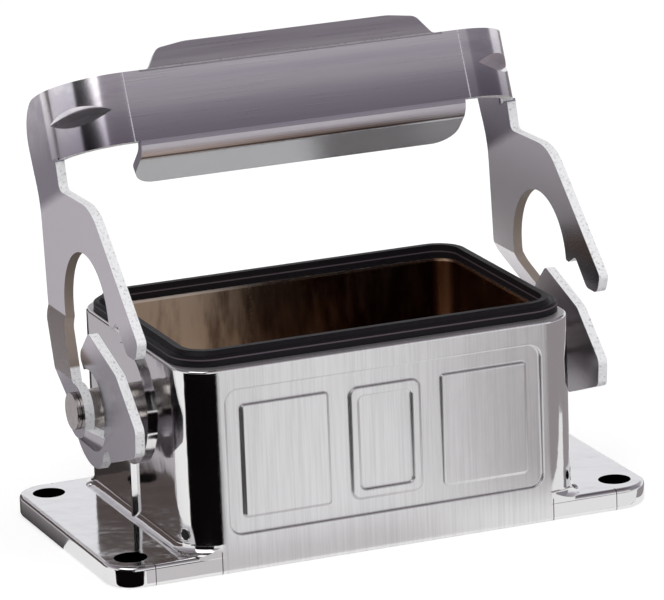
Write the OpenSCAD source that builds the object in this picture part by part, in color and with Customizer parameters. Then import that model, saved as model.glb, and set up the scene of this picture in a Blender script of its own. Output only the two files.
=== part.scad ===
// Open bulkhead housing of a heavy duty rectangular connector, with one folded locking lever.
// Origin: centre of the four flange holes, on the underside of the flange. +Z up, lever swings in Y.

/* [Flange] */
// Width of the flange, along X
flange_w = 78; // [76:0.5:84]
// Depth of the flange, along Y
flange_d = 41; // [40:0.5:46]
// Thickness of the flange
flange_t = 3; // [2.5:0.1:4]
// Corner radius of the flange
flange_r = 4.5; // [3:0.1:6]
// Rounding of the flange's upper and lower edges
flange_edge = 0.6; // [0.3:0.1:0.9]
// Distance of the screw holes from the flange's ends
hole_inset_x = 4; // [3.75:0.25:4.5]
// Distance of the screw holes from the flange's long sides
hole_inset_y = 4.5; // [4.25:0.25:5]
// Diameter of the mounting holes
hole_d = 4.4; // [3.4:0.1:4.6]

/* [Body] */
// Width of the body over its end walls
body_w = 56.4; // [56:0.2:58]
// Height of the rim above the underside
body_h = 28; // [26.5:0.5:30]
// Radius of the upright corners
body_r = 5; // [4:0.5:6]
// Rounding of the rim's outer edge
rim_edge = 0.4; // [0.2:0.1:0.6]
// Fillet between the body and the flange
foot_fillet = 1.3; // [0.8:0.1:2]
// Thickness of the end walls
wall_end = 2.6; // [2.4:0.1:3]
// Thickness of the long walls
wall_side = 3.7; // [3.2:0.1:3.9]
// Corner radius of the opening
mouth_r = 3.2; // [2:0.1:4]

/* [Panels] */
// Width of the recessed panel on each long side
panel_w = 45; // [43:0.5:46]
// Height of the recessed panel
panel_h = 19.8; // [17:0.2:20]
// Depth of the recess, and height of the pads in it
panel_depth = 0.45; // [0.2:0.05:0.6]
// Height of the panel's centre above the underside
panel_z = 15.1; // [14:0.1:15.6]
// Width of each raised pad
pad_w = 12.2; // [8:0.2:13]
// Height of the raised pads and the centre plate
pad_h = 15.3; // [10:0.1:16]
// Distance of each pad's centre from the middle
pad_x = 14.2; // [13:0.1:15]
// Width of the bare centre plate
plate_w = 10; // [6:0.2:11]

/* [Inserts] */
// Spacing of the insert screws along X
insert_x = 44; // [43:0.5:44.5]
// Spacing of the insert screws along Y
insert_y = 27; // [26:0.5:27.5]
// Diameter of the insert screw holes
insert_hole_d = 3.3; // [2.5:0.1:3.5]
// Depth of the insert screw holes
insert_hole_depth = 10; // [6:0.5:12]
// Height of the insert posts above the underside
post_h = 17; // [14:0.5:19]
// Diameter of the insert posts
post_d = 7; // [6:0.2:7.4]

/* [Seals] */
// Width of the rim seal
seal_w = 1.8; // [1.5:0.1:2]
// Height of the rim seal above the rim
seal_h = 1.9; // [1.2:0.1:2.5]
// Depth of the rim seal's groove
seal_depth = 1.6; // [1:0.1:2]
// Thickness of the metal lip inside the groove
seal_lip = 0.4; // [0.3:0.1:0.6]
// Clearance of each seal in its groove
seal_gap = 0.05; // [0.02:0.01:0.1]
// Width of the flange seal
foot_seal_w = 1.6; // [1.2:0.1:1.8]
// Depth of the flange seal
foot_seal_t = 1.4; // [1:0.1:1.6]

/* [Lever] */
// Thickness of the lever's sheet
sheet_t = 1.3; // [1:0.1:1.5]
// Half of the width over the arms
arm_x = 33.6; // [33.4:0.1:34.2]
// Half of the width over the claws
claw_x = 33.9; // [33.7:0.1:34.3]
// Half of the width over the eyes
eye_x = 36; // [35.8:0.1:36.6]
// Lean of the crossbar from upright, in degrees
lean = 24; // [20:1:28]
// Outer radius of the bends between crossbar and arms
bend_r = 9.3; // [8:0.1:10]
// Height of the crossbar's web along its lean
web_h = 9.5; // [9:0.1:11]
// Length of the tab above the crossbar
tab_h = 3.4; // [2:0.1:5]
// Half of the tab's width at its root
tab_half = 20.8; // [16:0.2:22]
// Fold of the tab, in degrees
tab_fold = 12; // [0:1:30]
// Length of the crossbar's lower flange, from its fold
flange_len = 7.7; // [6:0.1:8.2]
// Fold of the lower flange, in degrees
flange_fold = 68; // [55:1:80]
// Outer radius of the lower flange's fold
fold_r = 3; // [2.4:0.1:3.4]
// Half of the lower flange's width
flange_half = 23.5; // [20:0.1:23.8]
// Radius of the lower flange's corners
flange_corner = 3.3; // [2:0.1:4]
// Depth of the V pressed into each bend
gusset_depth = 1.3; // [0.8:0.1:1.4]
// Radius of the opening that takes the hood's peg
peg_bay_r = 8.7; // [8:0.1:9]

/* [Pivot] */
// Height of the pivot above the underside
pivot_z = 19; // [18.5:0.1:19.5]
// Diameter of the stud between housing and lever
stud_d = 5.3; // [4.5:0.1:5.6]
// Diameter of the stud in the lever's eye
spigot_d = 3.9; // [3:0.1:4]
// Radial running clearance of the eye on the stud
run_gap = 0.05; // [0.02:0.01:0.09]
// Diameter of the riveted head
head_d = 5; // [4.8:0.1:5.6]
// Height of the riveted head
head_h = 0.6; // [0.4:0.1:1]
// Radius of the lever's eye
eye_r = 3.7; // [3.4:0.1:4]
// Diameter of the round pad on each end wall
boss_d = 16.4; // [14:0.2:17]
// Height of the round pad on the end wall
boss_h = 0.7; // [0.4:0.1:1.2]

/* [Hidden] */
$fn = 48;
eps = 0.01;
hole_x = flange_w - 2 * hole_inset_x;
hole_y = flange_d - 2 * hole_inset_y;
mouth_w = body_w - 2 * wall_end;
mouth_d = flange_d - 2 * wall_side;
seal_in = seal_lip + seal_gap;
foot_seal_in = 2.4;
web_v = -17.86;
web_u = 50.5;
web_top = web_u + web_h;
fold_u = 48.9;
axis_v = web_v + bend_r;
axis_x = arm_x - bend_r;
joggle_top = 29.5;
joggle_low = 23;
hole_r = 5.3;
lobe_r = 8.1;

// A point on the leaning crossbar: v runs backwards from the bend, u runs up along the web
function lean_yz(v, u) = [u * sin(lean) + v * cos(lean), u * cos(lean) - v * sin(lean)];

// An outline whose corners [x, y, r] are rounded to the radius r
function unit(a) = a / norm(a);
function corner(p, q, s) =
    let (a = unit([p.x, p.y] - [q.x, q.y]), b = unit([s.x, s.y] - [q.x, q.y]),
         half = acos(max(-1, min(1, a * b))) / 2, r = q[2] == undef ? 0 : q[2],
         c = [q.x, q.y] + unit(a + b) * r / sin(half),
         turn = 90 - half, side = a.x * b.y - a.y * b.x > 0 ? -1 : 1,
         mid = atan2(-(a + b).y, -(a + b).x), n = max(2, ceil(turn / 7)))
    r == 0 ? [[q.x, q.y]]
    : [for (i = [-n : n]) let (t = mid + side * turn * i / n) c + r * [cos(t), sin(t)]];
function rounded(pts) = [for (i = [0 : len(pts) - 1])
    each corner(pts[(i + len(pts) - 1) % len(pts)], pts[i], pts[(i + 1) % len(pts)])];

module round_rect(w, d, r) {
    square([w - 2 * r, d], center = true);
    square([w, d - 2 * r], center = true);
    for (x = [-1, 1], y = [-1, 1])
        translate([x * (w / 2 - r), y * (d / 2 - r)]) circle(r);
}

module block(w, d, r, h) { linear_extrude(h) round_rect(w, d, r); }

// A ring of straight walls, lying outside the inner outline w, d, r
module ring(w, d, r, t, h) {
    difference() {
        block(w + 2 * t, d + 2 * t, r + t, h);
        translate([0, 0, -1]) block(w, d, r, h + 2);
    }
}

// A profile carried round a rounded rectangle: x is outwards from its edge, y is the height
module sweep_corners(w, d, r) {
    for (k = [0 : 3])
        translate([(k == 0 || k == 3 ? 1 : -1) * (w / 2 - r), (k < 2 ? 1 : -1) * (d / 2 - r), 0])
            rotate(90 * k) rotate_extrude(angle = 90) translate([r, 0]) children();
}
module sweep_ends(w, d, r) {
    for (k = [0, 1]) rotate(180 * k)
        translate([w / 2, d / 2 - r, 0]) rotate([90, 0, 0]) linear_extrude(d - 2 * r) children();
}
module sweep(w, d, r) {
    sweep_corners(w, d, r) children();
    sweep_ends(w, d, r) children();
    rotate(90) sweep_ends(d, w, r) children();
}

module edge_cut(e) {
    difference() {
        translate([-e, -e]) square(2 * e);
        translate([-e, -e]) circle(e);
    }
}

module both_ends() {
    children();
    mirror([1, 0, 0]) children();
}

// A flat outline in the YZ plane, made solid from x = from to x = to
module plate_x(from, to) {
    translate([from, 0, 0]) rotate([90, 0, 90]) linear_extrude(to - from) children();
}

// ---- housing ----

module side_panel() {
    translate([0, -flange_d / 2, panel_z]) rotate([90, 0, 0]) {
        translate([0, 0, -panel_depth]) difference() {
            block(panel_w, panel_h, 1.8, 2);
            for (x = [-pad_x, pad_x]) translate([x, 0, -1]) block(pad_w, pad_h, 0.5, 4);
            translate([0, 0, -1]) difference() {
                block(plate_w, pad_h, 1.2, 4);
                translate([0, 0, 1]) block(plate_w - 2.4, pad_h - 2.4, 0.8, 4);
            }
        }
    }
}

module end_wall_forms() {
    translate([body_w / 2 - 1, 0, pivot_z]) rotate([0, 90, 0]) cylinder(d = boss_d, h = 1 + boss_h);
    translate([body_w / 2 - 1, 0, flange_t - 1]) linear_extrude(body_h - flange_t - 0.4)
        polygon([[0, -1.6], [1, -0.9], [1.6, -0.3], [1.6, 0.3], [1, 0.9], [0, 1.6]]);
}

module insert_posts() {
    for (x = [-1, 1], y = [-1, 1]) {
        translate([x * insert_x / 2, y * insert_y / 2, flange_t]) cylinder(d = post_d, h = post_h - flange_t);
        translate([x > 0 ? insert_x / 2 : -mouth_w / 2 - 0.5, y > 0 ? insert_y / 2 - post_d / 2
            : -mouth_d / 2 - 0.5, flange_t])
            cube([(mouth_w - insert_x) / 2 + 0.5, (mouth_d - insert_y + post_d) / 2 + 0.5, post_h - flange_t]);
        translate([x > 0 ? insert_x / 2 - post_d / 2 : -mouth_w / 2 - 0.5, y > 0 ? insert_y / 2
            : -mouth_d / 2 - 0.5, flange_t])
            cube([(mouth_w - insert_x + post_d) / 2 + 0.5, (mouth_d - insert_y) / 2 + 0.5, post_h - flange_t]);
    }
}

module housing() {
    color("silver") difference() {
        union() {
            difference() {
                block(flange_w, flange_d, flange_r, flange_t);
                translate([0, 0, flange_t]) sweep(flange_w, flange_d, flange_r) edge_cut(flange_edge);
                mirror([0, 0, 1]) sweep(flange_w, flange_d, flange_r) edge_cut(flange_edge);
            }
            translate([0, 0, 1]) difference() {
                union() {
                    block(body_w, flange_d, body_r, body_h - 1);
                    both_ends() translate([0, 0, -1]) end_wall_forms();
                }
                translate([0, 0, body_h - 1]) sweep(body_w, flange_d, body_r) edge_cut(rim_edge);
            }
            intersection() {
                translate([-flange_w / 2, -flange_d / 2, 0]) cube([flange_w, flange_d, body_h]);
                union() {
                    sweep_corners(body_w, flange_d, body_r) foot_profile();
                    sweep_ends(body_w, flange_d, body_r) foot_profile();
                }
            }
        }
        difference() {
            translate([0, 0, -1]) block(mouth_w, mouth_d, mouth_r, body_h + 2);
            insert_posts();
        }
        translate([0, 0, body_h - seal_depth])
            ring(mouth_w + 2 * seal_lip, mouth_d + 2 * seal_lip, mouth_r + seal_lip, seal_w, seal_depth + 1);
        translate([0, 0, -1])
            ring(mouth_w + 2 * foot_seal_in, mouth_d + foot_seal_in, mouth_r, foot_seal_w, foot_seal_t + 1);
        for (x = [-1, 1], y = [-1, 1]) {
            translate([x * hole_x / 2, y * hole_y / 2, -1]) cylinder(d = hole_d, h = flange_t + 2);
            translate([x * insert_x / 2, y * insert_y / 2, post_h - insert_hole_depth])
                cylinder(d = insert_hole_d, h = insert_hole_depth + 1);
        }
        side_panel();
        rotate(180) side_panel();
        both_ends() translate([mouth_w / 2 + 1, 0, pivot_z]) rotate([0, 90, 0])
            cylinder(d = stud_d, h = wall_end + boss_h);
    }
}

module foot_profile() {
    difference() {
        translate([-0.5, flange_t - 0.5]) square(foot_fillet + 0.5);
        translate([foot_fillet, flange_t + foot_fillet]) circle(foot_fillet);
    }
}

// ---- seals ----

module rim_seal() {
    w = seal_w - 2 * seal_gap;
    in_w = mouth_w + 2 * seal_in;
    in_d = mouth_d + 2 * seal_in;
    top = body_h + seal_h;
    color("black") union() {
        translate([0, 0, body_h - seal_depth])
            ring(in_w, in_d, mouth_r + seal_in, w, seal_depth + 0.5 * seal_h);
        difference() {
            translate([0, 0, body_h + seal_gap])
                ring(mouth_w + 0.2, mouth_d + 0.2, mouth_r + 0.1, seal_in + w - 0.1, seal_h - seal_gap);
            translate([0, 0, top]) sweep(in_w + 2 * w, in_d + 2 * w, mouth_r + seal_in + w)
                polygon([[0.1, -0.9], [0.1, 0.1], [-1.15, 0.1], [-1.15, -0.1], [-0.75, -0.6], [-0.35, -0.6]]);
        }
    }
}

module flange_seal() {
    color("black")
        ring(mouth_w + 2 * (foot_seal_in + seal_gap), mouth_d + foot_seal_in + 2 * seal_gap,
            mouth_r + seal_gap, foot_seal_w - 2 * seal_gap, foot_seal_t);
}

// ---- lever ----

// Half of the crossbar and its bends, seen along the lean: x outwards, y backwards
module bow(x, r) {
    translate([0, axis_v]) {
        translate([axis_x, 0]) circle(r, $fn = 96);
        translate([-x, 0]) square([2 * x, 30]);
        translate([-axis_x, -r]) square([2 * axis_x, r + 1]);
        translate([-axis_x, 0]) circle(r, $fn = 96);
    }
}

module leaning() { rotate([-lean, 0, 0]) children(); }

// The V pressed into a bend, as a prism whose edge runs at radius r from the bend's axis
module bend_vee(r) {
    translate([axis_x, axis_v, web_u + web_h / 2]) rotate(-135) rotate([0, -90, 0])
        linear_extrude(24, center = true) polygon([[0, r], [3.4, r + 3.4], [-3.4, r + 3.4]]);
}

module head() {
    leaning() difference() {
        union() {
            difference() {
                translate([0, 0, web_u]) linear_extrude(web_h) difference() {
                    bow(arm_x, bend_r);
                    bow(arm_x - sheet_t, bend_r - sheet_t);
                }
                plate_x(-arm_x - 1, arm_x + 1) difference() {
                    translate([web_v - 2, web_u - 1]) square([70, web_h + 2]);
                    polygon(rounded([[web_v - 1, web_u - 1], [web_v - 1, web_top + eps],
                        [-1, web_top + eps, 5.5], [-1.6, web_u - 1]]));
                }
            }
            both_ends() intersection() {
                bend_vee(bend_r - gusset_depth - sheet_t * sqrt(2));
                translate([axis_x, axis_v, web_u]) cylinder(r = bend_r - sheet_t / 2, h = web_h);
            }
        }
        both_ends() bend_vee(bend_r - gusset_depth);
    }
}

module tab() {
    leaning() translate([0, web_v, web_top]) rotate([-tab_fold, 0, 0]) rotate([90, 0, 0])
        translate([0, 0, -sheet_t]) linear_extrude(sheet_t)
            polygon(rounded([[-tab_half - 1.2, -0.3], [-tab_half - 1.2, 0], [-tab_half + 0.2, 0, 0.8],
                [-tab_half + 2, tab_h - 0.6, 1.5], [-tab_half + 6, tab_h, 8], [tab_half - 6, tab_h, 8],
                [tab_half - 2, tab_h - 0.6, 1.5], [tab_half - 0.2, 0, 0.8], [tab_half + 1.2, 0],
                [tab_half + 1.2, -0.3]]));
}

module lower_flange() {
    side = 90 - flange_fold;
    end = flange_len * [cos(side), -sin(side)];
    thick = sheet_t * [sin(side), cos(side)];
    inner_u = sheet_t * (cos(side) - (1 - sin(side)) * tan(side));
    leaning() translate([0, web_v, fold_u]) difference() {
        plate_x(-flange_half, flange_half) polygon(rounded([[0, 5], [0, 0, fold_r], end, end + thick,
            [sheet_t, inner_u, fold_r - sheet_t], [sheet_t, 5]]));
        both_ends() rotate([-side, 0, 0]) translate([flange_half - flange_corner, flange_len - flange_corner, -1])
            linear_extrude(sheet_t + 2) difference() {
                square(flange_corner + 1);
                circle(flange_corner);
            }
    }
}

// Flat arm with its hooked finger
module arm_outline() {
    difference() {
        polygon(rounded([lean_yz(-1.5, web_u + 1.5), [17.3, 43.3, 12], [16.2, joggle_top], [5, joggle_top],
            [-7, 32.5], [-8.8, 32.2, 0.4], [-11, 33.4, 0.6], [-14.4, 29.95, 1.5], [-17.7, 29.9, 1.5],
            [-18.7, 32.5, 1], [-2.85, 47, 8], [9.1, 46.8, 1.2], lean_yz(-11.3, web_u + 0.25),
            lean_yz(-8.5, web_u + 0.25), lean_yz(-8.5, web_u + 1.5)]));
        translate([0.7, 31.4]) circle(peg_bay_r, $fn = 96);
    }
}

// Leg that steps outwards to the eye
module leg() {
    slope = atan((eye_x - arm_x) / (joggle_top - joggle_low));
    drop = sheet_t * tan(slope / 2);
    intersection() {
        rotate([90, 0, 0]) translate([0, 0, -30]) linear_extrude(60)
            polygon([[arm_x, joggle_top + 1], [arm_x, joggle_top], [eye_x, joggle_low], [eye_x, 12],
                [eye_x - sheet_t, 12], [eye_x - sheet_t, joggle_low - drop],
                [arm_x - sheet_t, joggle_top - drop], [arm_x - sheet_t, joggle_top + 1]]);
        plate_x(arm_x - 3, eye_x + 1) {
            polygon(rounded([[16.2, joggle_top + 0.7], [15.95, 28.3, 2.5], [2, pivot_z + 0.25],
                [-1.5, pivot_z + 2.3], [9.2, 28.5, 2.5], [9.3, joggle_top + 0.7]]));
            translate([0, pivot_z]) circle(eye_r);
        }
    }
}

// Flat claw round the stud, below the finger
module claw_outline() {
    difference() {
        polygon(rounded(concat(
            [[-0.4, 29.5, 0.9], [3.7, 25.6, 1.3], [1.5, 23.3], [0, pivot_z], [4, pivot_z - 2.4]],
            [for (a = [-35 : -5 : -105]) [lobe_r * cos(a), pivot_z + lobe_r * sin(a)]],
            [[-3.7, 12.5, 0.6], [-4.3, 13.9, 0.7], [-6.3, 14.7, 0.7], [-6.9, 13.3, 0.5],
            [-16.7, 16.7, 1.2], [-17.1, 20.3, 1.5], [-10.5, 26.2, 1.5]])));
        translate([0, pivot_z]) circle(hole_r);
    }
}

// Drawn wall that carries the claw from the eye
module drawn_wall() {
    out = eye_r + (eye_x - claw_x);
    translate([0, 0, pivot_z]) rotate([0, 90, 0]) rotate(-60) rotate_extrude(angle = 130)
        polygon([[out + 0.7, claw_x], [out, claw_x], [eye_r - 0.1, eye_x], [eye_r - 1, eye_x],
            [eye_r - 1, eye_x - sheet_t], [eye_r - 0.7, eye_x - sheet_t],
            [out - 0.6, claw_x - sheet_t], [out + 0.7, claw_x - sheet_t]]);
}

module lever() {
    color("slategray") difference() {
        union() {
            head();
            tab();
            lower_flange();
            both_ends() {
                plate_x(arm_x - sheet_t, arm_x) arm_outline();
                leg();
                plate_x(claw_x - sheet_t, claw_x) claw_outline();
                drawn_wall();
            }
        }
        translate([-eye_x - 1, 0, pivot_z]) rotate([0, 90, 0])
            cylinder(d = spigot_d + 2 * run_gap, h = 2 * eye_x + 2);
    }
}

// ---- studs ----

module stud() {
    color("gainsboro") translate([0, 0, pivot_z]) rotate([0, 90, 0]) {
        translate([0, 0, mouth_w / 2 + 1]) cylinder(d = stud_d, h = eye_x - sheet_t - run_gap - mouth_w / 2 - 1);
        translate([0, 0, eye_x - sheet_t - 1]) cylinder(d = spigot_d, h = sheet_t + 1 + run_gap);
        translate([0, 0, eye_x + run_gap]) cylinder(d = head_d, h = head_h);
    }
}

module stud_right() { stud(); }
module stud_left() { mirror([1, 0, 0]) stud(); }

housing();
rim_seal();
flange_seal();
lever();
stud_left();
stud_right();
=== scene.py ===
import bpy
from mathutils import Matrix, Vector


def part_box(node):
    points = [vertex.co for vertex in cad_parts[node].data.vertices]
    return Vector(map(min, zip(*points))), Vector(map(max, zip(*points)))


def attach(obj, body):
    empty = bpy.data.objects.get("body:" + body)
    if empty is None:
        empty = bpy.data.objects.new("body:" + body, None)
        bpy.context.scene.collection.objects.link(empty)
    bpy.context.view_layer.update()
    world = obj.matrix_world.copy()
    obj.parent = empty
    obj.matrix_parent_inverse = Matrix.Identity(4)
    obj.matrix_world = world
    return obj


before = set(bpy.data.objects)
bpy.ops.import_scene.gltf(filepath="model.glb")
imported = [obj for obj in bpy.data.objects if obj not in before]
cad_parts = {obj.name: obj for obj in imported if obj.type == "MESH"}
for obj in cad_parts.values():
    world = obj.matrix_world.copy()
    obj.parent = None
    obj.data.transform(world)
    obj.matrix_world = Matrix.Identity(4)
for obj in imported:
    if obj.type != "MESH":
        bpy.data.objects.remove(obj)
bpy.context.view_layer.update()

import math

import bpy
import numpy as np
from bpy.props import FloatProperty, FloatVectorProperty, PointerProperty
from mathutils import Matrix, Vector

bl_info = {
    "name": "Rectangular Connector Housing",
    "version": (1, 0, 0),
    "blender": (4, 5, 0),
    "location": "3D View > Sidebar > Connector",
    "description": "Finishes and small castings of a heavy duty rectangular connector housing",
    "category": "Object",
}

MM = 0.001

# Sizes of the frame's own pieces, in millimetres.
HOUSING_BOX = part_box("housing")
FLANGE_HALF_W = HOUSING_BOX[1][0] / MM
SIDE_Y = HOUSING_BOX[1][1] / MM
RIM_Z = HOUSING_BOX[1][2] / MM  # the rim is the housing's highest point
SEAL_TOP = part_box("rim_seal")[1][2] / MM
PIVOT_Z = sum(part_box("stud_right")[k][2] for k in (0, 1)) / 2 / MM

# Places on the housing, in millimetres. The first ones are the solid's own, as the part's source has
# them, and those from BRUSHED_X to SLIDE_X belong to its finish alone.
FLANGE_TOP = 3.0
HOLE_PLACE = (FLANGE_HALF_W - 4.0, SIDE_Y - 4.5, 0.0)
HOLE_R = 2.2
CAVITY_X, CAVITY_Y = 25.6, 16.8  # the inner faces of the end and side walls
BRUSHED_X = 23.3  # each long side is brushed up to here
SEAM_X, SLIDE_X = 23.85, 33.2  # where two parts of the mould met, on the flange's long edges
PANEL_Z = 15.1  # the middle of the forms below
# The recess on each long side, its two pads and its centre plate: middle along X, half width, half
# height, corner radius, and 1 for a raised form or -1 for a sunk one.
SIDE_FORMS = ((0.0, 22.5, 9.9, 1.8, -1), (14.2, 6.1, 7.65, 0.5, 1), (0.0, 5.0, 7.65, 1.2, 1),
              (0.0, 3.8, 6.45, 0.8, -1))
FORM_SLOPE = 0.28  # half the width of their softened borders
FORM_DEPTH = 0.22  # how far the shading makes those borders rise or fall

# Places on the lever, in millimetres. A name in _X is a distance from the middle, and one in _UP is a
# distance along UP, the way up the leaning crossbar, from the plane through the origin.
LEAN = math.radians(24)
UP = (0.0, math.sin(LEAN), math.cos(LEAN))
BAR_UP = 45.0  # the crossbar and its bends are above this
WEB_FOOT_UP, WEB_TOP_UP = 50.5, 60.0  # the crossbar's flat face
TAB_X = 20.8
FLANGE_X = 23.5  # half the length of the lower flange
BEND_X = 24.3  # the crossbar is flat up to here
ARM_X = 32.3  # the arms' inner faces
BAY_BACK_Y = 3.0  # the peg bays' back edges lie behind this
BAY_FOOT_Z, BAY_TOP_Z = 20.0, 46.0
STEP_Z = 31.0  # the step drawn in each leg is below this
FLANGE_DIP = math.radians(46)  # the lower flange's slope from level
SPRING_BACK = math.radians(15)  # the tilt of its shading


def linear(code):
    """An sRGB hex colour as the linear RGBA that a shader takes."""
    parts = [int(code[k:k + 2], 16) / 255 for k in (1, 3, 5)]
    return [c / 12.92 if c <= 0.04045 else ((c + 0.055) / 1.055) ** 2.4 for c in parts] + [1.0]


def colour(name, code, words):
    """A colour property whose default is an sRGB hex colour."""
    return FloatVectorProperty(name=name, description=words, subtype="COLOR", size=4,
                               min=0.0, max=1.0, default=linear(code))


def length(name, value, words):
    """A length property whose default is given in millimetres."""
    return FloatProperty(name=name, description=words, unit="LENGTH", precision=5,
                         min=0.0, default=value * MM)


# ---- sizes and colours that a user would change ----


class ConnectorFinishes(bpy.types.PropertyGroup):
    nickel: colour("Nickel", "#DDDCDC", "Plated zinc on the outside of the housing")
    # Its tone is painted light: the cavity's plating where light falls on its left end.
    lit_nickel_inside: colour("Nickel inside", "#D2C4B4", "Thinner, warmer plating in the cavity")
    steel: colour("Sheet steel", "#DEDADE", "Faces of the lever's sheet")
    steel_edge: colour("Sheared edge", "#FAFAFC", "Sheared edges of the lever's sheet")
    stud: colour("Stud steel", "#CFCAC6", "Turned and riveted studs")
    rubber: colour("Rubber", "#100E12", "Moulded seals")
    side_brush: length("Side brush spacing", 0.3, "Distance between the brush lines on the long sides")
    bar_brush: length("Crossbar brush spacing", 0.22, "Distance between the brush lines on the crossbar")
    turned_pitch: length("Turning pitch", 0.3, "Distance between the turning rings on the stud heads")


class ConnectorDetails(bpy.types.PropertyGroup):
    ring_radius: length("Ring radius", 0.86, "Middle radius of the raised ring on each front corner")
    ring_section: length("Ring section", 0.13, "Half of the thickness of that ring")
    hole_radius: length("Hole radius", 0.7, "Radius of the hole in the ring")
    ring_height: length("Ring height", 5.4, "Height of the hole above the underside")
    nub_radius: length("Nub radius", 0.75, "Radius of the small lump at a foot corner")
    corner_radius: length("Corner radius", 5.0, "Radius of the housing's upright corners")
    body_half: length("Half body width", 28.2, "Half of the housing's width over its end walls")


class ConnectorStage(bpy.types.PropertyGroup):
    eye: FloatVectorProperty(name="Camera place", description="Where the camera stands", unit="LENGTH",
                             size=3, default=(-0.257667, -0.644948, 0.220744))
    aim: FloatVectorProperty(name="Camera aim", description="What the camera looks at", unit="LENGTH",
                             size=3, default=(0.001192, 0.0, 0.02908))
    roll: FloatProperty(name="Camera roll", description="Turn of the camera about its own line of sight",
                        subtype="ANGLE", default=math.radians(2.185))
    lens: FloatProperty(name="Focal length", description="Focal length in millimetres", default=290.12)
    key_power: FloatProperty(name="Key lamp", description="Power of the large soft lamp in watts",
                             default=1.9)
    fill_power: FloatProperty(name="Fill lamp", description="Power of the second soft lamp in watts",
                              default=2.0)


# ---- helpers ----


def add(tree, kind, inputs=None, **settings):
    """Adds a node with its settings; each input is a value or another node's output socket."""
    node = tree.nodes.new(kind)
    for key, value in settings.items():
        setattr(node, key, value)
    for key, value in (inputs or {}).items():
        if isinstance(value, bpy.types.NodeSocket):
            tree.links.new(value, node.inputs[key])
        else:
            node.inputs[key].default_value = value
    return node


def surface(name, **sockets):
    """A material with one shader, and its Object coordinates in millimetres."""
    material = bpy.data.materials.new(name)
    material.use_nodes = True
    tree = material.node_tree
    tree.nodes.clear()
    shader = add(tree, "ShaderNodeBsdfPrincipled", sockets)
    add(tree, "ShaderNodeOutputMaterial", {"Surface": shader.outputs[0]})
    place = add(tree, "ShaderNodeTexCoord").outputs["Object"]
    mm = add(tree, "ShaderNodeVectorMath", {0: place, 1: (1 / MM,) * 3}, operation="MULTIPLY").outputs[0]
    return material, tree, shader, mm


def mask(tree, *terms):
    """The product of its terms, each a socket or a range.

    A range is (value, start, end): 0 before start and 1 past end, with a smooth rise between. Its start
    may be the larger, and then it is 1 below its end.
    """
    out = None
    for term in terms:
        if isinstance(term, tuple):
            value, start, end = term
            term = add(tree, "ShaderNodeMapRange", {"Value": value, "From Min": start, "From Max": end},
                       interpolation_type="SMOOTHSTEP").outputs[0]
        out = term if out is None else add(tree, "ShaderNodeMath", {0: out, 1: term},
                                           operation="MULTIPLY").outputs[0]
    return out


def line(tree, value, middle, half):
    """1 where the value is within half of the middle, fading out over a fifth of half."""
    gap = add(tree, "ShaderNodeMath", {0: value, 1: middle}, operation="SUBTRACT").outputs[0]
    size = add(tree, "ShaderNodeMath", {0: gap}, operation="ABSOLUTE").outputs[0]
    return mask(tree, (size, half * 1.2, half))


def layers(tree, base, *covers, kind="RGBA"):
    """Lays covers over a base in turn: each is a factor, and what replaces the base where that is 1."""
    for factor, cover in covers:
        base = add(tree, "ShaderNodeMix", {"Factor": factor, "A": base, "B": cover},
                   data_type=kind).outputs["Result"]
    return base


def streaks(tree, mm, *spacing):
    """Noise drawn out into lines: spacing is the size of its grain along X, Y and Z, in millimetres."""
    scale = [1.0 / size for size in spacing]
    drawn = add(tree, "ShaderNodeVectorMath", {0: mm, 1: scale}, operation="MULTIPLY").outputs[0]
    return add(tree, "ShaderNodeTexNoise", {"Vector": drawn, "Scale": 1.0, "Detail": 4.0,
                                            "Roughness": 0.65}).outputs["Fac"]


def frame_edge(tree, mm, centre_x, half_w, half_h, radius):
    """Distance outwards from a rounded rectangle on the long sides, in millimetres, near its border.

    With q the place's distances from the middle less the straight half sides, it is |max(q, 0)| - radius.
    """
    place = add(tree, "ShaderNodeVectorMath", {0: mm}, operation="ABSOLUTE").outputs[0]
    centre = (centre_x, 0.0, PANEL_Z)
    away = add(tree, "ShaderNodeVectorMath", {0: place, 1: centre}, operation="SUBTRACT").outputs[0]
    away = add(tree, "ShaderNodeVectorMath", {0: away, 1: (1.0, 0.0, 1.0)}, operation="MULTIPLY").outputs[0]
    size = add(tree, "ShaderNodeVectorMath", {0: away}, operation="ABSOLUTE").outputs[0]
    inner = (half_w - radius, 0.0, half_h - radius)
    past = add(tree, "ShaderNodeVectorMath", {0: size, 1: inner}, operation="SUBTRACT").outputs[0]
    past = add(tree, "ShaderNodeVectorMath", {0: past, 1: (0.0,) * 3}, operation="MAXIMUM").outputs[0]
    reach = add(tree, "ShaderNodeVectorMath", {0: past}, operation="LENGTH").outputs["Value"]
    return add(tree, "ShaderNodeMath", {0: reach, 1: radius}, operation="SUBTRACT").outputs[0]


def relief(tree, *forms, under=None):
    """Forms laid over one another as bumps, each a height, a depth and a strength.

    The depth is what a height of 1 measures, in millimetres, and a negative one makes a dent. The forms
    stand on the normal under, if it is given.
    """
    for height, depth, strength in forms:
        inputs = {"Height": height, "Distance": abs(depth) * MM, "Strength": strength}
        if under is not None:
            inputs["Normal"] = under
        under = add(tree, "ShaderNodeBump", inputs, invert=depth < 0).outputs["Normal"]
    return under


def paint(obj, material):
    """Puts the material in every slot of an object."""
    if not obj.material_slots:
        obj.data.materials.append(material)
    for slot in obj.material_slots:
        slot.material = material


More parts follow.
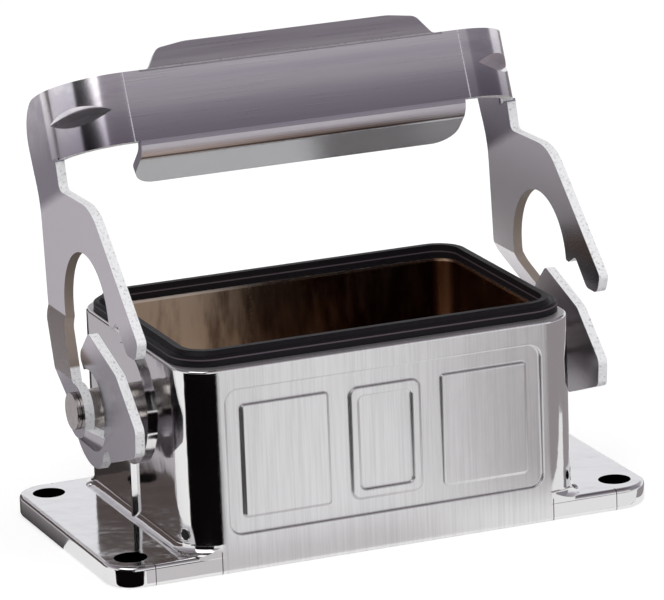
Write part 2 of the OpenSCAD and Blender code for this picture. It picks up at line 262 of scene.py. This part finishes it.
def sheet_mesh(name, points, material, body, closed=(False, False)):
    """Makes a grid of points, rows by columns by 3 in metres, into a smooth piece riding on a body."""
    rows, cols = points.shape[:2]
    r = np.arange(rows if closed[0] else rows - 1)
    c = np.arange(cols if closed[1] else cols - 1)
    r, c = np.meshgrid(r, c, indexing="ij")
    r2, c2 = (r + 1) % rows, (c + 1) % cols
    quads = np.stack([r * cols + c, r * cols + c2, r2 * cols + c2, r2 * cols + c], -1).reshape(-1, 4)
    mesh = bpy.data.meshes.new(name)
    mesh.from_pydata(points.reshape(-1, 3).tolist(), [], quads.tolist())
    mesh.polygons.foreach_set("use_smooth", np.ones(len(quads), bool))
    mesh.validate()
    mesh.update()
    obj = bpy.data.objects.new(name, mesh)
    bpy.context.scene.collection.objects.link(obj)
    paint(obj, material)
    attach(obj, body)
    return obj


# ---- materials ----


def nickel_plated_zinc():
    """Die-cast zinc, nickel plated: mirror bright as plated, satin where the long sides were brushed."""
    # The brushed sides give soft vertical streaks, and the bright ends wavy, hard-edged reflections.
    tones = bpy.context.scene.connector_finishes
    material, tree, shader, mm = surface("nickel_plated_zinc", Metallic=1.0)
    x, y, z = add(tree, "ShaderNodeSeparateXYZ", {0: mm}).outputs
    ax = add(tree, "ShaderNodeMath", {0: x}, operation="ABSOLUTE").outputs[0]
    ay = add(tree, "ShaderNodeMath", {0: y}, operation="ABSOLUTE").outputs[0]
    side = mask(tree, (ay, SIDE_Y - 0.9, SIDE_Y - 0.5))
    satin = mask(tree, side, (ax, BRUSHED_X + 0.6, BRUSHED_X))
    inside = mask(tree, (ax, CAVITY_X + 0.2, CAVITY_X + 0.1), (ay, CAVITY_Y + 0.2, CAVITY_Y + 0.1),
                  (z, RIM_Z + 0.1, RIM_Z - 0.1))
    # Brush lines, waves about 9 mm across, and grit of about half a millimetre.
    brush = streaks(tree, mm, tones.side_brush / MM, 50.0, 40 * tones.side_brush / MM)
    cloud = add(tree, "ShaderNodeTexNoise", {"Vector": mm, "Scale": 0.11, "Detail": 3.0}).outputs["Fac"]
    grit = add(tree, "ShaderNodeTexNoise", {"Vector": mm, "Scale": 2.2, "Detail": 5.0,
                                            "Roughness": 0.7}).outputs["Fac"]
    # The cavity's plating gets painted shade, dark brown in upright runs, and painted light that makes it
    # paler towards its left end.
    flow = streaks(tree, mm, 4.0, 4.0, 16.0)
    paler = add(tree, "ShaderNodeMath", {0: x, 1: -0.009, 2: flow}, operation="MULTIPLY_ADD").outputs[0]
    cavity_shade_and_light = layers(tree, linear("#5E4638"), (mask(tree, (paler, 0.3, 0.68)), tones.lit_nickel_inside))
    # A painted highlight: a thin near-white band round the cavity's wall just under the rim.
    lip = mask(tree, inside, (z, RIM_Z - 0.45, RIM_Z - 0.35))
    # The screw holes get painted shade, nearly black: reach is the distance from the nearest one's axis.
    reach = add(tree, "ShaderNodeVectorMath", {0: mm}, operation="ABSOLUTE").outputs[0]
    reach = add(tree, "ShaderNodeVectorMath", {0: reach, 1: HOLE_PLACE}, operation="SUBTRACT").outputs[0]
    reach = add(tree, "ShaderNodeVectorMath", {0: reach, 1: (1.0, 1.0, 0.0)},
                operation="MULTIPLY").outputs[0]
    reach = add(tree, "ShaderNodeVectorMath", {0: reach}, operation="LENGTH").outputs["Value"]
    shaded_bore = mask(tree, (reach, HOLE_R + 0.03, HOLE_R + 0.01))
    # The mould's slides leave fine dark lines on the flange's long edges.
    seam = mask(tree, (ay, SIDE_Y - 1.2, SIDE_Y - 0.8), (z, FLANGE_TOP + 0.3, FLANGE_TOP + 0.1),
                line(tree, ax, SEAM_X, 0.07))
    slide = mask(tree, (ay, SIDE_Y - 1.0, SIDE_Y - 0.7), (z, FLANGE_TOP + 0.2, FLANGE_TOP),
                 line(tree, ax, SLIDE_X, 0.06))
    marks = add(tree, "ShaderNodeMath", {0: seam, 1: slide}, operation="MAXIMUM").outputs[0]
    tone = layers(tree, tones.nickel, (inside, cavity_shade_and_light),
                  (mask(tree, satin, (brush, 0.35, 0.7)), linear("#D2D1D1")),
                  (lip, linear("#F4EEE8")), (shaded_bore, linear("#1A1412")), (marks, linear("#7A726E")))
    tree.links.new(tone, shader.inputs["Base Color"])
    # The rim's narrow top is dull, and so is the cavity's left end, which shows as a warm light patch.
    land = mask(tree, (z, RIM_Z - 0.04, RIM_Z - 0.02))
    dull_end = mask(tree, (x, 2.0, -16.0))
    bright = layers(tree, 0.05, (cloud, 0.12), kind="FLOAT")
    brushed = layers(tree, 0.27, (brush, 0.37), kind="FLOAT")
    lined = layers(tree, 0.12, (grit, 0.24), (dull_end, 0.5), kind="FLOAT")
    rough = layers(tree, bright, (satin, brushed), (land, 0.5), (inside, lined), kind="FLOAT")
    tree.links.new(rough, shader.inputs["Roughness"])
    # The recess, pads and plate have softened borders, which show as fine dark and bright lines.
    forms = [(cloud, 0.5, 0.25), (mask(tree, brush, satin), 0.012, 0.5)]
    for centre_x, half_w, half_h, radius, rise in SIDE_FORMS:
        edge = frame_edge(tree, mm, centre_x, half_w, half_h, radius)
        forms.append((mask(tree, side, (edge, FORM_SLOPE, -FORM_SLOPE)), rise * FORM_DEPTH, 1.0))
    forms.append((mask(tree, grit, inside), 0.03, 0.5))
    tree.links.new(relief(tree, *forms), shader.inputs["Normal"])
    return material


def stainless_sheet():
    """Rolled stainless sheet, stamped and folded: brushed along the crossbar, pale where it was sheared."""
    # The brushing stretches highlights across the bar, and the cut edges read as near-white outlines.
    tones = bpy.context.scene.connector_finishes
    material, tree, shader, mm = surface("stainless_sheet", Metallic=1.0)
    x, y, z = add(tree, "ShaderNodeSeparateXYZ", {0: mm}).outputs
    ax = add(tree, "ShaderNodeMath", {0: x}, operation="ABSOLUTE").outputs[0]
    along = add(tree, "ShaderNodeVectorMath", {0: mm, 1: UP}, operation="DOT_PRODUCT").outputs["Value"]
    # How far a face is turned towards UP and towards either side, as cosines.
    facing = add(tree, "ShaderNodeTexCoord").outputs["Normal"]
    facing_x, facing_y, facing_z = add(tree, "ShaderNodeSeparateXYZ", {0: facing}).outputs
    turned_up = add(tree, "ShaderNodeVectorMath", {0: facing, 1: UP},
                    operation="DOT_PRODUCT").outputs["Value"]
    flat_up = add(tree, "ShaderNodeMath", {0: turned_up}, operation="ABSOLUTE").outputs[0]
    flat_side = add(tree, "ShaderNodeMath", {0: facing_x}, operation="ABSOLUTE").outputs[0]
    # The sheet's cut edges, on the crossbar with its bends and on the arms.
    bar = mask(tree, (along, BAR_UP, BAR_UP + 2.0))
    past_flange = mask(tree, (ax, FLANGE_X - 0.05, FLANGE_X + 0.1))
    upper = mask(tree, (along, WEB_TOP_UP - 4.0, WEB_TOP_UP - 3.0))
    outer = add(tree, "ShaderNodeMath", {0: past_flange, 1: upper}, operation="MAXIMUM").outputs[0]
    bar_edge = mask(tree, bar, outer, (flat_up, 0.75, 0.85))
    arm_edge = mask(tree, (ax, ARM_X - 0.4, ARM_X - 0.2), (along, WEB_FOOT_UP - 0.1, WEB_FOOT_UP - 0.3),
                    (flat_side, 0.5, 0.4))
    edge = add(tree, "ShaderNodeMath", {0: bar_edge, 1: arm_edge}, operation="MAXIMUM").outputs[0]
    # The lower flange's face gets a plain grey tone of its own, painted light for the reflection it catches,
    # and its fold a dull, dark stripe of painted reflection.
    folded = mask(tree, (ax, FLANGE_X + 0.1, FLANGE_X - 0.05), (along, WEB_FOOT_UP + 1.5, WEB_FOOT_UP + 0.5))
    flange_face = mask(tree, folded, (turned_up, -0.88, -0.91))
    fold = mask(tree, folded, (turned_up, -0.1, -0.3), (turned_up, -0.91, -0.88))
    fold_dark_reflection = mask(tree, fold, (turned_up, -0.74, -0.84))
    # Brush lines, the long bands that rolling leaves, and grain of about 0.4 mm.
    spacing = tones.bar_brush / MM
    brush = streaks(tree, mm, 60 * spacing, spacing, spacing)
    band = streaks(tree, mm, 180.0, 3.0, 3.0)
    grain = add(tree, "ShaderNodeTexNoise", {"Vector": mm, "Scale": 2.6, "Detail": 5.0,
                                             "Roughness": 0.7}).outputs["Fac"]
    banded = mask(tree, bar, (band, 0.35, 0.65))
    # Painted shade: the legs darken towards their eyes, and the crossbar's face towards its foot.
    leg_shade = mask(tree, (along, 26.0, 21.0))
    web_shade = mask(tree, (flat_up, 0.45, 0.25), (along, WEB_TOP_UP + 1.0, WEB_FOOT_UP - 1.0), bar)
    # The step in each leg, drawn by the press, gets painted light: its upturned slope is whitened, brighter
    # than the rolled face.
    lit_step = mask(tree, (facing_z, 0.15, 0.3), (flat_side, 0.8, 0.9), (z, STEP_Z + 1.0, STEP_Z))
    # A painted highlight: a bright line where each bend starts, and along the tab's fold, which also gets a
    # slight bump.
    bend_line = mask(tree, bar, line(tree, ax, BEND_X, 0.07))
    fold_line = mask(tree, line(tree, along, WEB_TOP_UP + 0.05, 0.1), (ax, TAB_X + 0.7, TAB_X + 0.2))
    crease_highlight = add(tree, "ShaderNodeMath", {0: bend_line, 1: fold_line}, operation="MAXIMUM").outputs[0]
    pale = add(tree, "ShaderNodeMath", {0: crease_highlight, 1: edge}, operation="MAXIMUM").outputs[0]
    # Shearing tears part of the sheet, which leaves grey specks; the peg bays' edges get painted shade, a
    # dull brown.
    bay_shade = mask(tree, (y, BAY_BACK_Y - 0.5, BAY_BACK_Y), (z, BAY_FOOT_Z, BAY_FOOT_Z + 2.0),
               (z, BAY_TOP_Z, BAY_TOP_Z - 2.0), (facing_y, -0.1, -0.3))
    sheared = layers(tree, tones.steel_edge, (mask(tree, (grain, 0.5, 0.72)), linear("#B4B1B5")),
                     (bay_shade, linear("#8D8077")))
    tone = layers(tree, tones.steel, (banded, linear("#CCC7D0")), (leg_shade, linear("#A19DA3")),
                  (web_shade, linear("#88828D")), (lit_step, linear("#FFFFFF")), (fold_dark_reflection, linear("#7A706E")),
                  (flange_face, linear("#C4C4C8")), (pale, sheared))
    tree.links.new(tone, shader.inputs["Base Color"])
    # The cut edges scatter light like a pale matt surface.
    tree.links.new(layers(tree, 1.0, (edge, 0.1), kind="FLOAT"), shader.inputs["Metallic"])
    bar_brush = mask(tree, brush, bar, (ax, BEND_X + 0.9, BEND_X - 0.1))
    on_bar = layers(tree, 0.15, (bar_brush, 0.5), kind="FLOAT")
    on_arm = layers(tree, 0.18, (grain, 0.27), kind="FLOAT")
    ragged = layers(tree, 0.4, (grain, 0.6), kind="FLOAT")
    dull = add(tree, "ShaderNodeMath", {0: edge, 1: fold}, operation="MAXIMUM").outputs[0]
    rough = layers(tree, on_arm, (bar, on_bar), (dull, ragged), (flange_face, on_arm), kind="FLOAT")
    tree.links.new(rough, shader.inputs["Roughness"])
    lines = relief(tree, (bar_brush, 0.02, 0.5))
    torn = relief(tree, (mask(tree, grain, edge), 0.12, 0.7), under=lines)
    # The lower flange springs back a little: a height that grows along its face tilts its shading.
    spring = (0.0, -math.cos(FLANGE_DIP), math.sin(FLANGE_DIP))
    way = add(tree, "ShaderNodeVectorMath", {0: mm, 1: spring}, operation="DOT_PRODUCT").outputs["Value"]
    tilted = relief(tree, (way, math.tan(SPRING_BACK), 1.0), under=lines)
    sprung = mask(tree, folded, (turned_up, -0.55, -0.85))
    pressed = layers(tree, torn, (sprung, tilted), kind="VECTOR")
    tree.links.new(relief(tree, (crease_highlight, 0.03, 0.8), under=pressed), shader.inputs["Normal"])
    return material


def nitrile_rubber():
    """Moulded black nitrile rubber: a soft, slightly mottled gloss along its ridges."""
    tones = bpy.context.scene.connector_finishes
    material, tree, shader, mm = surface("nitrile_rubber", **{"Specular IOR Level": 0.14, "IOR": 1.52})
    mottle = add(tree, "ShaderNodeTexNoise", {"Vector": mm, "Scale": 1.6, "Detail": 6.0,
                                              "Roughness": 0.7}).outputs["Fac"]
    z = add(tree, "ShaderNodeSeparateXYZ", {0: mm}).outputs[2]
    flash = line(tree, z, SEAL_TOP - 0.95, 0.09)  # the mould's parting line
    tone = layers(tree, tones.rubber, (mottle, linear("#1C191D")), (flash, linear("#5A5058")))
    tree.links.new(tone, shader.inputs["Base Color"])
    tree.links.new(layers(tree, 0.36, (mottle, 0.6), kind="FLOAT"), shader.inputs["Roughness"])
    tree.links.new(relief(tree, (mottle, 0.03, 0.5)), shader.inputs["Normal"])
    return material


def riveted_steel():
    """Turned steel stud, riveted over: fine rings round its axis, burnished in patches."""
    tones = bpy.context.scene.connector_finishes
    material, tree, shader, mm = surface("riveted_steel", Metallic=1.0)
    place = add(tree, "ShaderNodeMapping", {"Vector": mm, "Location": (0.0, 0.0, -PIVOT_Z),
                                            "Scale": (0.0, 1.0, 1.0)}).outputs[0]
    radius = add(tree, "ShaderNodeVectorMath", {0: place}, operation="LENGTH").outputs["Value"]
    x = add(tree, "ShaderNodeSeparateXYZ", {0: mm}).outputs[0]
    reach = add(tree, "ShaderNodeMath", {0: radius, 1: x}, operation="ADD").outputs[0]
    turns = 2 * math.pi * MM / tones.turned_pitch
    angle = add(tree, "ShaderNodeMath", {0: reach, 1: turns}, operation="MULTIPLY").outputs[0]
    rings = add(tree, "ShaderNodeMath", {0: angle}, operation="SINE").outputs[0]
    patch = add(tree, "ShaderNodeTexNoise", {"Vector": mm, "Scale": 0.9, "Detail": 3.0}).outputs["Fac"]
    tone = layers(tree, tones.stud, (patch, linear("#A9A29D")))
    tree.links.new(tone, shader.inputs["Base Color"])
    tree.links.new(layers(tree, 0.14, (patch, 0.3), kind="FLOAT"), shader.inputs["Roughness"])
    tree.links.new(relief(tree, (rings, 0.004, 0.5)), shader.inputs["Normal"])
    return material


def shadowed_bore():
    """The unlit bottom of a small cored hole in plated zinc: nearly black, dull and faintly mottled."""
    material, tree, shader, mm = surface("shadowed_bore", Metallic=0.0)
    soot = add(tree, "ShaderNodeTexNoise", {"Vector": mm, "Scale": 3.0, "Detail": 3.0}).outputs["Fac"]
    tone = layers(tree, linear("#050404"), (soot, linear("#16110F")))
    tree.links.new(tone, shader.inputs["Base Color"])
    tree.links.new(layers(tree, 0.5, (soot, 0.8), kind="FLOAT"), shader.inputs["Roughness"])
    return material


# ---- small castings ----


def corner_point(side, turn, sizes, height):
    """Point and outward direction on a front upright corner: turn is measured from the end wall."""
    radius = sizes.corner_radius
    centre = Vector((sizes.body_half - radius, radius - SIDE_Y * MM, height))
    outward = Vector((math.cos(turn), -math.sin(turn), 0.0))
    point = centre + radius * outward
    return Vector((side * point.x, point.y, point.z)), Vector((side * outward.x, outward.y, 0.0))


def on_corner(side, turn, sizes, height, profile, count=48):
    """Turns a profile of (radius, rise) about a corner's outward direction.

    A point is radius times (cos t across + sin t up) from the middle, and rise outwards; the corner's
    own bulge, across squared over twice its radius, is taken off so that the form hugs the wall.
    """
    middle, out = corner_point(side, turn, sizes, height)
    across = np.array(Vector((0, 0, 1)).cross(out))
    t = np.linspace(0, 2 * np.pi, count, endpoint=False)
    radius, rise = np.asarray(profile).T[:, :, None]
    flat = radius * np.cos(t)
    lift = rise - flat ** 2 / (2 * sizes.corner_radius)
    up = np.array((0.0, 0.0, 1.0))
    return (np.array(middle) + flat[..., None] * across + (radius * np.sin(t))[..., None] * up
            + lift[..., None] * np.array(out))


# ---- operators ----


class CONNECTOR_OT_housing(bpy.types.Operator):
    """Gives the housing its plated finish"""
    bl_idname = "connector.housing"
    bl_label = "Finish Housing"

    def execute(self, context):
        paint(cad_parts["housing"], nickel_plated_zinc())
        return {"FINISHED"}


class CONNECTOR_OT_seals(bpy.types.Operator):
    """Gives both seals their rubber"""
    bl_idname = "connector.seals"
    bl_label = "Finish Seals"

    def execute(self, context):
        rubber = nitrile_rubber()
        for name in ("rim_seal", "flange_seal"):
            paint(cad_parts[name], rubber)
        return {"FINISHED"}


class CONNECTOR_OT_lever(bpy.types.Operator):
    """Gives the folded lever its sheet steel"""
    bl_idname = "connector.lever"
    bl_label = "Finish Lever"

    def execute(self, context):
        paint(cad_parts["lever"], stainless_sheet())
        return {"FINISHED"}


class CONNECTOR_OT_studs(bpy.types.Operator):
    """Gives both studs their turned steel"""
    bl_idname = "connector.studs"
    bl_label = "Finish Studs"

    def execute(self, context):
        steel = riveted_steel()
        for name in ("stud_left", "stud_right"):
            paint(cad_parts[name], steel)
        return {"FINISHED"}


class CONNECTOR_OT_corner_holes(bpy.types.Operator):
    """Adds the ringed hole near the foot of each front corner"""
    bl_idname = "connector.corner_holes"
    bl_label = "Add Corner Holes"

    def execute(self, context):
        sizes = context.scene.connector_details
        plated = bpy.data.materials["nickel_plated_zinc"]
        shaded_bore = shadowed_bore()
        turn = math.radians(23)
        # The ring's section is a flattened half circle whose ends go a little into the wall.
        flatness, sink = 0.6, 0.1
        a = np.linspace(-sink, math.pi + sink, 13)
        ring = np.stack([sizes.ring_radius + sizes.ring_section * np.cos(a),
                         flatness * sizes.ring_section * np.sin(a)], -1)
        # The hole's bottom is a shallow dish, just proud of the wall.
        floor = [(0.0, 0.02 * MM), (0.5 * sizes.hole_radius, 0.025 * MM), (sizes.hole_radius, 0.05 * MM),
                 (sizes.hole_radius + 0.06 * MM, 0.0)]
        for side, word in ((-1, "left"), (1, "right")):
            order = -1 if side > 0 else 1
            lip = on_corner(side, turn, sizes, sizes.ring_height, ring)[:, ::order]
            sheet_mesh(f"corner_ring_{word}", lip, plated, "base", closed=(False, True))
            hole = on_corner(side, turn, sizes, sizes.ring_height, floor)[:, ::-order]
            sheet_mesh(f"corner_hole_{word}", hole, shaded_bore, "base", closed=(False, True))
        return {"FINISHED"}


class CONNECTOR_OT_foot_nubs(bpy.types.Operator):
    """Adds the small cast lump at the foot of two opposite corners"""
    bl_idname = "connector.foot_nubs"
    bl_label = "Add Foot Nubs"

    def execute(self, context):
        sizes = context.scene.connector_details
        plated = bpy.data.materials["nickel_plated_zinc"]
        # A ball of longitude t and latitude p, flattened, half sunk in the top of the flange.
        t, p = np.meshgrid(np.linspace(0.0, 2 * np.pi, 33)[:-1], np.linspace(-0.5, 0.5, 13) * np.pi)
        ball = np.stack([np.cos(p) * np.cos(t), np.cos(p) * np.sin(t), np.sin(p)], -1)
        lump = sizes.nub_radius * ball * (1.0, 1.0, 0.7)
        off_wall, off_side = 0.35 * MM, 3.8 * MM
        for side, face, word in ((-1, 1, "left_back"), (1, -1, "right_front")):
            middle = np.array((side * (sizes.body_half + off_wall), face * (SIDE_Y * MM - off_side),
                               FLANGE_TOP * MM))
            sheet_mesh(f"foot_nub_{word}", middle + lump, plated, "base", closed=(False, True))
        return {"FINISHED"}


class CONNECTOR_OT_stage(bpy.types.Operator):
    """Sets the camera, the pale floor, the lamps and what the metal reflects"""
    bl_idname = "connector.stage"
    bl_label = "Build Stage"

    def execute(self, context):
        scene = context.scene
        sizes = scene.connector_stage
        place_camera(scene, sizes)
        build_floor()
        build_cards()
        build_sky(scene)
        lamp_size = 0.6
        lamp("key_lamp", (-0.42, -0.3, 0.62), lamp_size, sizes.key_power)
        lamp("fill_lamp", (0.5, -0.35, 0.45), lamp_size, sizes.fill_power, shows_in_metal=False)
        scene.view_settings.view_transform = "Standard"
        return {"FINISHED"}


# ---- stage ----


def place_camera(scene, sizes):
    """Stands the camera at its place, aimed and rolled, with upright the Z axis before the roll."""
    camera = bpy.data.objects.new("camera", bpy.data.cameras.new("camera"))
    scene.collection.objects.link(camera)
    camera.data.lens = sizes.lens
    camera.data.sensor_width = 36.0
    camera.data.clip_end = 20.0
    eye, aim = Vector(sizes.eye), Vector(sizes.aim)
    forward = (aim - eye).normalized()
    right = forward.cross(Vector((0, 0, 1))).normalized()
    level = Matrix((right, right.cross(forward), -forward)).transposed()
    camera.matrix_world = Matrix.Translation(eye) @ (level @ Matrix.Rotation(-sizes.roll, 3, "Z")).to_4x4()
    scene.camera = camera


def flat_card(name, corners, material):
    """A flat sheet of card through the given corners, in millimetres."""
    mesh = bpy.data.meshes.new(name)
    mesh.from_pydata([[v * MM for v in corner] for corner in corners], [], [list(range(len(corners)))])
    obj = bpy.data.objects.new(name, mesh)
    bpy.context.scene.collection.objects.link(obj)
    paint(obj, material)
    return obj


def glow(name, first, second=None, start=0.0, end=1.0, skew=0.0):
    """A material of one even tone, or one that turns from first to second across X, in millimetres.

    The blend runs over x plus skew times y, so that it can lie along a slanting line.
    """
    material = bpy.data.materials.new(name)
    material.use_nodes = True
    tree = material.node_tree
    tree.nodes.clear()
    shade = add(tree, "ShaderNodeEmission", {"Color": linear(first)})
    add(tree, "ShaderNodeOutputMaterial", {"Surface": shade.outputs[0]})
    if second:
        place = add(tree, "ShaderNodeTexCoord").outputs["Object"]
        way = add(tree, "ShaderNodeVectorMath", {0: place, 1: (1 / MM, skew / MM, 0.0)},
                  operation="DOT_PRODUCT").outputs["Value"]
        tone = layers(tree, linear(first), (mask(tree, (way, start, end)), linear(second)))
        tree.links.new(tone, shade.inputs["Color"])
    return material


def build_floor():
    """A pale floor that shows white where it is unshadowed, keeps the shadow, and has painted shade
    underneath.
    """
    material = bpy.data.materials.new("studio_floor")
    material.use_nodes = True
    tree = material.node_tree
    tree.nodes.clear()
    path = add(tree, "ShaderNodeLightPath").outputs
    seen = path["Is Camera Ray"]
    for ray in ("Is Glossy Ray", "Is Transmission Ray"):
        seen = add(tree, "ShaderNodeMath", {0: seen, 1: path[ray]}, operation="MAXIMUM").outputs[0]
    place = add(tree, "ShaderNodeTexCoord").outputs["Object"]
    size = add(tree, "ShaderNodeVectorMath", {0: place}, operation="ABSOLUTE").outputs[0]
    x, y, _ = add(tree, "ShaderNodeSeparateXYZ", {0: size}).outputs
    # The dark patch is painted shade for the flange's holes; it ends just inside the flange's outline, so
    # that none of it shows.
    under = mask(tree, (x, (FLANGE_HALF_W - 1.2) * MM, (FLANGE_HALF_W - 1.6) * MM),
                 (y, (SIDE_Y - 1.6) * MM, (SIDE_Y - 2.0) * MM))
    tone = layers(tree, linear("#C8C8C8"), (under, linear("#0A0807")))
    light = layers(tree, linear("#CDCDCD"), (under, linear("#080504")))
    matt = add(tree, "ShaderNodeBsdfDiffuse", {"Color": tone}).outputs[0]
    white = add(tree, "ShaderNodeEmission", {"Color": light}).outputs[0]
    lit = add(tree, "ShaderNodeAddShader", {0: matt, 1: white}).outputs[0]
    plain = add(tree, "ShaderNodeMixShader", {0: seen, 1: matt, 2: lit}).outputs[0]
    add(tree, "ShaderNodeOutputMaterial", {"Surface": plain})
    half = 4000
    flat_card("floor", [(-half, -half, 0), (half, -half, 0), (half, half, 0), (-half, half, 0)], material)


def build_cards():
    """Grey, pale, brown and black cards that only the metal sees, as flags do in a studio.

    The low ones lie just over the floor, where the upright faces look, and the screens stand up.
    """
    black = glow("black_card", "#0A0708")
    grey = glow("grey_card", "#C0BCC1", "#3C3736", -46, -38)
    brown = glow("brown_card", "#5C5250")
    dark = glow("dark_card", "#241C1B")
    cavity = glow("cavity_card", "#FFEEDF", "#8A6C5B", -2, 16)
    dusk = glow("dusk_card", "#6A6264")
    dim = glow("dim_card", "#938F97")
    front = glow("front_card", "#FCFCFE", "#A09A9D", -8, 20, 0.403)
    near = glow("near_card", "#DAD7DA", "#FFFFFF", 0, 20)
    low, over = 0.06, 0.12
    lying = (
        ("front_left_card", black, low, [(-38, -18.9), (-35, -20.7), (-32.9, -30.6), (-21.3, -31),
                                         (16, -209), (-230, -209), (-230, -12)]),
        ("back_left_card", grey, low, [(-30, 18), (-39, 0), (-200, 260), (-330, 600), (-10, 600),
                                       (-10, 22)]),
        ("front_card", front, low, [(-34, -21.5), (40, -21.5), (200, 400), (600, 400), (600, -230),
                                    (17, -230), (-21, -31), (-32.5, -30.4)]),
        ("foot_card", near, over, [(-34, -21.5), (75, -21.5), (75, -36), (-21.6, -30.8),
                                   (-32.5, -30.2)]),
        ("behind_card", dark, over, [(-24, 23), (29, 23), (29, 40), (-24, 40)]),
        ("far_behind_card", dark, over, [(-24, 88), (8, 88), (-4, 108), (-38, 108)]),
        ("behind_right_card", dusk, over, [(27, 44), (110, 44), (120, 120), (27, 120)]),
        ("cavity_card", cavity, low, [(-27, -18), (27, -18), (27, 18), (-27, 18)]),
    )
    # A screen stands on the line from its first place to its second, between two heights.
    standing = (
        ("right_screen", dim, (450, -420), (450, 60), 60, 420),
        ("back_left_screen", brown, (-560, 330), (-20, 600), 0, 195),
        ("front_left_screen", black, (-420, -110), (-150, -400), 0, 260),
    )
    cards = [flat_card(name, [(*place, height) for place in outline], material)
             for name, material, height, outline in lying]
    cards += [flat_card(name, [(*one, foot), (*two, foot), (*two, top), (*one, top)], material)
              for name, material, one, two, foot, top in standing]
    for card in cards:
        card.visible_camera = False
        card.visible_diffuse = False
        card.visible_shadow = False
        card.visible_transmission = False


def build_sky(scene):
    """White to the camera, soft light for matt surfaces, and for metal a sky that dims with height."""
    world = bpy.data.worlds.new("studio")
    scene.world = world
    world.use_nodes = True
    tree = world.node_tree
    tree.nodes.clear()
    path = add(tree, "ShaderNodeLightPath").outputs
    place = add(tree, "ShaderNodeTexCoord").outputs["Generated"]
    height = add(tree, "ShaderNodeSeparateXYZ", {0: place}).outputs[2]
    ramp = add(tree, "ShaderNodeValToRGB", {0: height})
    tones = [(0.0, "#FFFFFF"), (0.3, "#F8F9FD"), (0.44, "#BBB7BD"), (0.77, "#8B858C"), (1.0, "#3A3431")]
    while len(ramp.color_ramp.elements) < len(tones):
        ramp.color_ramp.elements.new(0.5)
    for element, (level, tone) in zip(ramp.color_ramp.elements, tones):
        element.position = level
        element.color = linear(tone)
    plain = linear("#FFFFFF")
    soft = add(tree, "ShaderNodeBackground", {"Color": plain, "Strength": 0.5}).outputs[0]
    shown = add(tree, "ShaderNodeBackground", {"Color": plain, "Strength": 1.0}).outputs[0]
    gloss = add(tree, "ShaderNodeBackground", {"Color": ramp.outputs[0], "Strength": 1.0}).outputs[0]
    lit = add(tree, "ShaderNodeMixShader", {0: path["Is Glossy Ray"], 1: soft, 2: gloss}).outputs[0]
    white = add(tree, "ShaderNodeMath", {0: path["Is Camera Ray"], 1: path["Is Transmission Ray"]},
                operation="MAXIMUM").outputs[0]
    last = add(tree, "ShaderNodeMixShader", {0: white, 1: lit, 2: shown}).outputs[0]
    add(tree, "ShaderNodeOutputWorld", {"Surface": last})


def lamp(name, place, size, power, shows_in_metal=True):
    """A square soft lamp aimed at the middle of the object."""
    light = bpy.data.lights.new(name, "AREA")
    light.size = size
    light.energy = power
    obj = bpy.data.objects.new(name, light)
    bpy.context.scene.collection.objects.link(obj)
    obj.location = place
    obj.visible_glossy = shows_in_metal
    middle = Vector((0.0, 0.0, 0.03))
    obj.rotation_euler = (middle - Vector(place)).to_track_quat("-Z", "Y").to_euler()


# ---- panel and registration ----


class CONNECTOR_PT_tools(bpy.types.Panel):
    """Lists the steps that dress the connector"""
    bl_idname = "CONNECTOR_PT_tools"
    bl_label = "Connector"
    bl_space_type = "VIEW_3D"
    bl_region_type = "UI"
    bl_category = "Connector"

    def draw(self, context):
        for group in (context.scene.connector_finishes, context.scene.connector_details,
                      context.scene.connector_stage):
            box = self.layout.box()
            for name in group.bl_rna.properties.keys():
                if name not in ("rna_type", "name"):
                    box.prop(group, name)
        for operator in STEPS:
            self.layout.operator(operator.bl_idname)


GROUPS = {
    "connector_finishes": ConnectorFinishes,
    "connector_details": ConnectorDetails,
    "connector_stage": ConnectorStage,
}
STEPS = (
    CONNECTOR_OT_housing,
    CONNECTOR_OT_seals,
    CONNECTOR_OT_lever,
    CONNECTOR_OT_studs,
    CONNECTOR_OT_corner_holes,
    CONNECTOR_OT_foot_nubs,
    CONNECTOR_OT_stage,
)


def register():
    for cls in (*GROUPS.values(), *STEPS, CONNECTOR_PT_tools):
        bpy.utils.register_class(cls)
    for name, group in GROUPS.items():
        setattr(bpy.types.Scene, name, PointerProperty(type=group))


def unregister():
    for name in GROUPS:
        delattr(bpy.types.Scene, name)
    for cls in reversed((*GROUPS.values(), *STEPS, CONNECTOR_PT_tools)):
        bpy.utils.unregister_class(cls)


def main():
    register()
    bpy.ops.connector.housing()
    bpy.ops.connector.seals()
    bpy.ops.connector.lever()
    bpy.ops.connector.studs()
    bpy.ops.connector.corner_holes()
    bpy.ops.connector.foot_nubs()
    bpy.ops.connector.stage()


if __name__ == "__main__":
    main()
